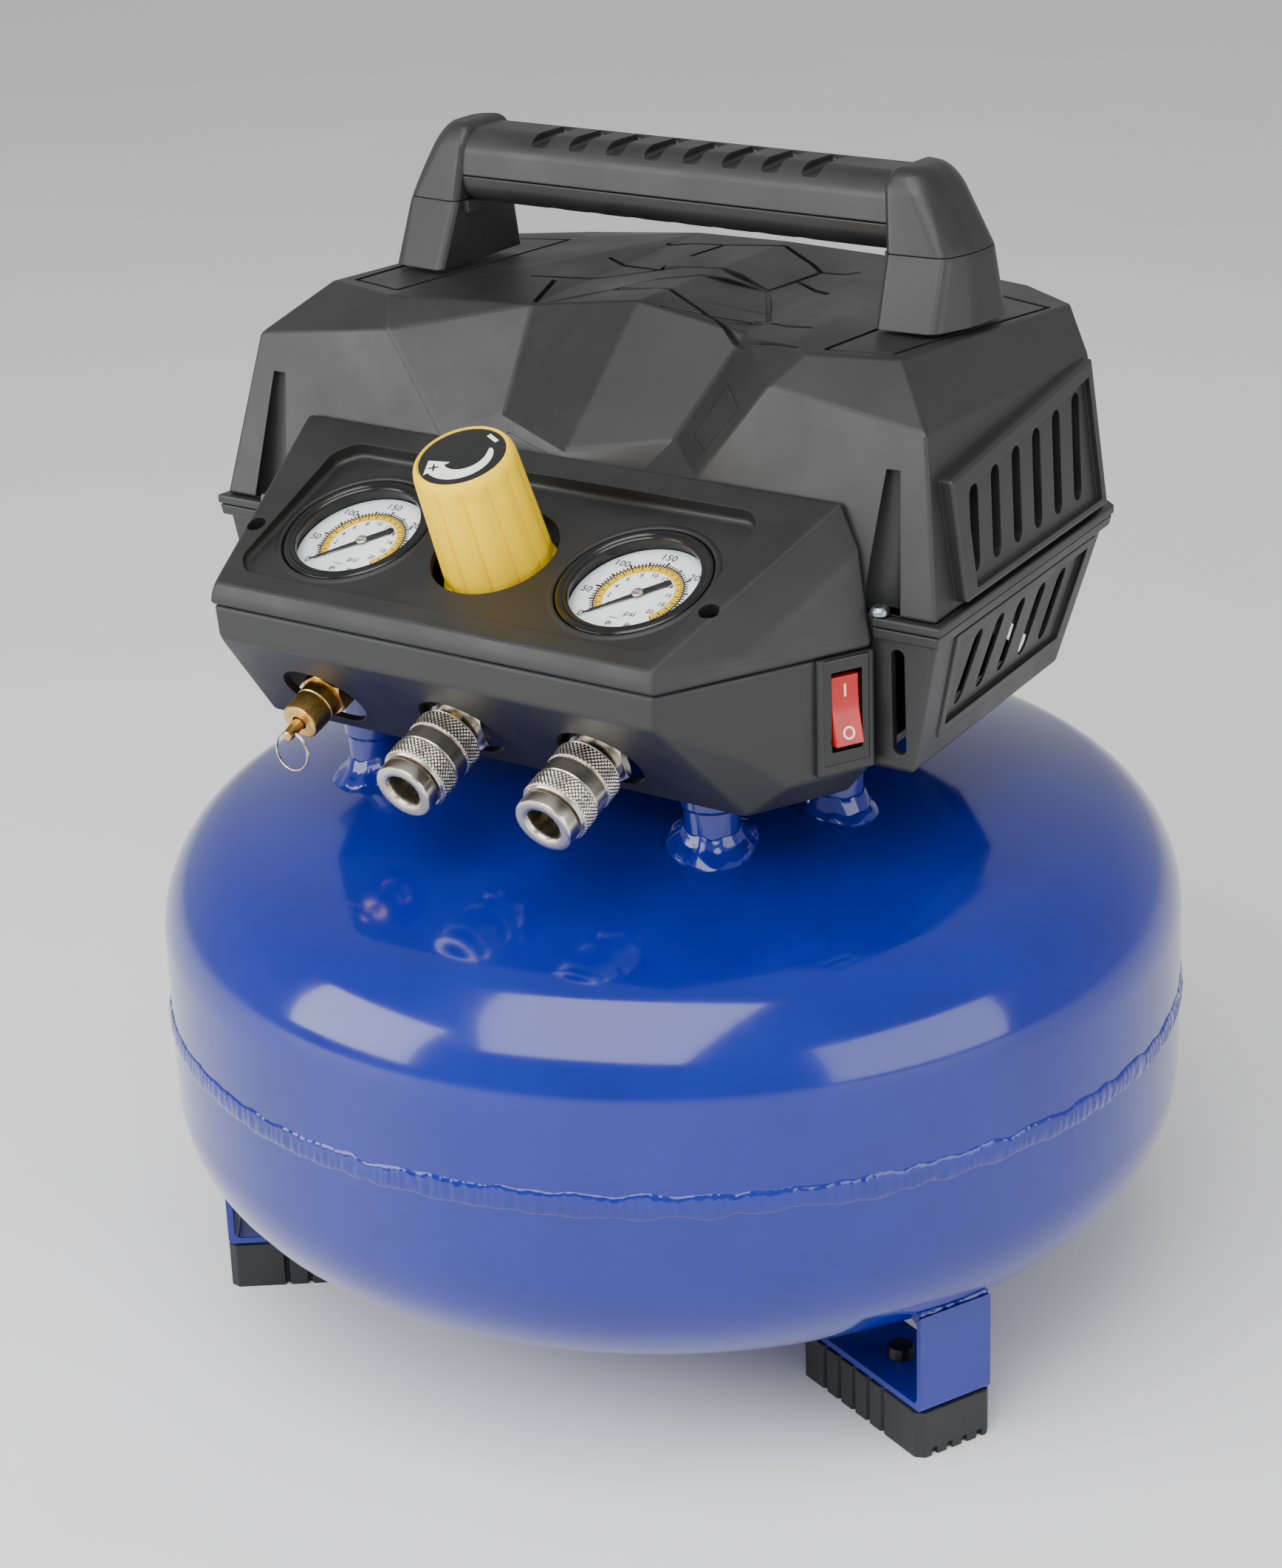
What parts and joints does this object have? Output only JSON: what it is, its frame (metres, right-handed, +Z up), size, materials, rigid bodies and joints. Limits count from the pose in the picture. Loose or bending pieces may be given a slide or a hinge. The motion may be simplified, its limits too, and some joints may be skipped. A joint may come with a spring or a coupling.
{
  "type": "pancake air compressor",
  "caption": "Portable pancake air compressor with blue domed tank, black faceted shroud, top handle, sloping gauge console, yellow regulator knob, two quick couplers and rubber feet",
  "frame": {"origin": "on the floor under the middle of the tank", "axes": "+Z up, the console and the outlets face -Y, +X to the right of someone facing the console"},
  "size_m": [0.414, 0.414, 0.466],
  "materials": {
    "blue_paint": "gloss",
    "foot_rubber": "matte",
    "zinc_steel": "satin",
    "turned_brass": "satin",
    "black_moulding": "satin",
    "gauge_black": "gloss",
    "gauge_card": "matte",
    "clear_lens": "gloss",
    "cast_alloy": "matte",
    "yellow_knob": "satin",
    "nickel_plate": "gloss",
    "red_rocker": "gloss",
    "gland_rubber": "matte",
    "copper_pipe": "satin"
  },
  "bodies": {
    "compressor": {"tank_upper_head": "blue_paint", "tank_lower_head": "blue_paint", "weld_bead": "blue_paint", "foot_bracket_right": "blue_paint", "foot_bracket_left": "blue_paint", "foot_bracket_rear": "blue_paint", "rubber_foot_right": "foot_rubber", "rubber_foot_left": "foot_rubber", "rubber_foot_rear": "foot_rubber", "foot_screw_right": "zinc_steel", "foot_screw_left": "zinc_steel", "foot_screw_rear": "zinc_steel", "cover_screw_left": "zinc_steel", "cover_screw_right": "zinc_steel", "pump_deck": "zinc_steel", "motor_stator": "zinc_steel", "drain_body": "turned_brass", "safety_valve_body": "turned_brass", "check_valve": "turned_brass", "outlet_nipple_left": "turned_brass", "outlet_nipple_right": "turned_brass", "upper_cover": "black_moulding", "lower_cover": "black_moulding", "console_panel": "black_moulding", "console_housing": "black_moulding", "handle_upper": "black_moulding", "handle_lower": "black_moulding", "switch_bezel": "black_moulding", "pressure_switch": "black_moulding", "gauge_case_left": "gauge_black", "gauge_case_right": "gauge_black", "gauge_dial_left": "gauge_card", "gauge_dial_right": "gauge_card", "gauge_lens_left": "clear_lens", "gauge_lens_right": "clear_lens", "pressure_manifold": "cast_alloy", "regulator_body": "cast_alloy", "crankcase": "cast_alloy", "pump_cylinder": "cast_alloy", "cylinder_head": "cast_alloy", "coupler_body_left": "nickel_plate", "coupler_body_right": "nickel_plate", "cord_gland": "gland_rubber", "transfer_tube": "copper_pipe"},
    "motor_shaft": {"motor_rotor": "zinc_steel", "cooling_fan": "black_moulding", "crank_eccentric": "zinc_steel"},
    "piston": {"piston_rod": "cast_alloy"},
    "knob": {"regulator_knob": "yellow_knob"},
    "rocker": {"switch_rocker": "red_rocker"},
    "sleeve_left": {"coupler_sleeve_left": "nickel_plate"},
    "sleeve_right": {"coupler_sleeve_right": "nickel_plate"},
    "needle_left": {"gauge_needle_left": "black_moulding"},
    "needle_right": {"gauge_needle_right": "black_moulding"},
    "relief_pin": {"safety_valve_pin": "turned_brass"},
    "relief_ring": {"safety_valve_ring": "nickel_plate"},
    "drain": {"drain_screw": "turned_brass"}
  },
  "joints": [
    {"name": "shaft_spin", "type": "hinge", "parent": "compressor", "child": "motor_shaft", "pos_m": [0, 0.012, 0.318], "axis": [1, 0, 0], "continuous": true},
    {"name": "piston_stroke", "type": "slide", "parent": "compressor", "child": "piston", "axis": [0, 0, 1], "range_m": [-0.008, 0.008]},
    {"name": "knob_turn", "type": "hinge", "parent": "compressor", "child": "knob", "pos_m": [0, -0.1023, 0.3316], "axis": [0, -0.3746, 0.9272], "continuous": true},
    {"name": "rocker_tilt", "type": "hinge", "parent": "compressor", "child": "rocker", "pos_m": [0.13001, -0.07853, 0.2945], "axis": [0.4415, 0.8973, 0], "range_deg": [0, 20]},
    {"name": "sleeve_slide_left", "type": "slide", "parent": "compressor", "child": "sleeve_left", "axis": [0, 0.9272, 0.3746], "range_m": [0, 0.0045], "stiffness_N_per_m": 900, "springref_m": -0.004},
    {"name": "sleeve_slide_right", "type": "slide", "parent": "compressor", "child": "sleeve_right", "axis": [0, 0.9272, 0.3746], "range_m": [0, 0.0045], "stiffness_N_per_m": 900, "springref_m": -0.004},
    {"name": "needle_sweep_left", "type": "hinge", "parent": "compressor", "child": "needle_left", "pos_m": [-0.0632, -0.1064, 0.33641], "axis": [0, 0.3746, -0.9272], "range_deg": [0, 270], "stiffness_Nm_per_rad": 0.0002, "springref_deg": -17.19},
    {"name": "needle_sweep_right", "type": "hinge", "parent": "compressor", "child": "needle_right", "pos_m": [0.0632, -0.1064, 0.33641], "axis": [0, 0.3746, -0.9272], "range_deg": [0, 270], "stiffness_Nm_per_rad": 0.0002, "springref_deg": -17.19},
    {"name": "relief_pull", "type": "slide", "parent": "compressor", "child": "relief_pin", "axis": [0, -0.9272, -0.3746], "range_m": [0, 0.002], "stiffness_N_per_m": 800, "springref_m": -0.003},
    {"name": "ring_swing", "type": "hinge", "parent": "relief_pin", "child": "relief_ring", "pos_m": [-0.072, -0.14308, 0.26702], "axis": [1, 0, 0], "range_deg": [-60, 35]},
    {"name": "drain_turn", "type": "hinge", "parent": "compressor", "child": "drain", "pos_m": [0, 0, 0.01], "axis": [0, 0, 1], "continuous": true}
  ]
}
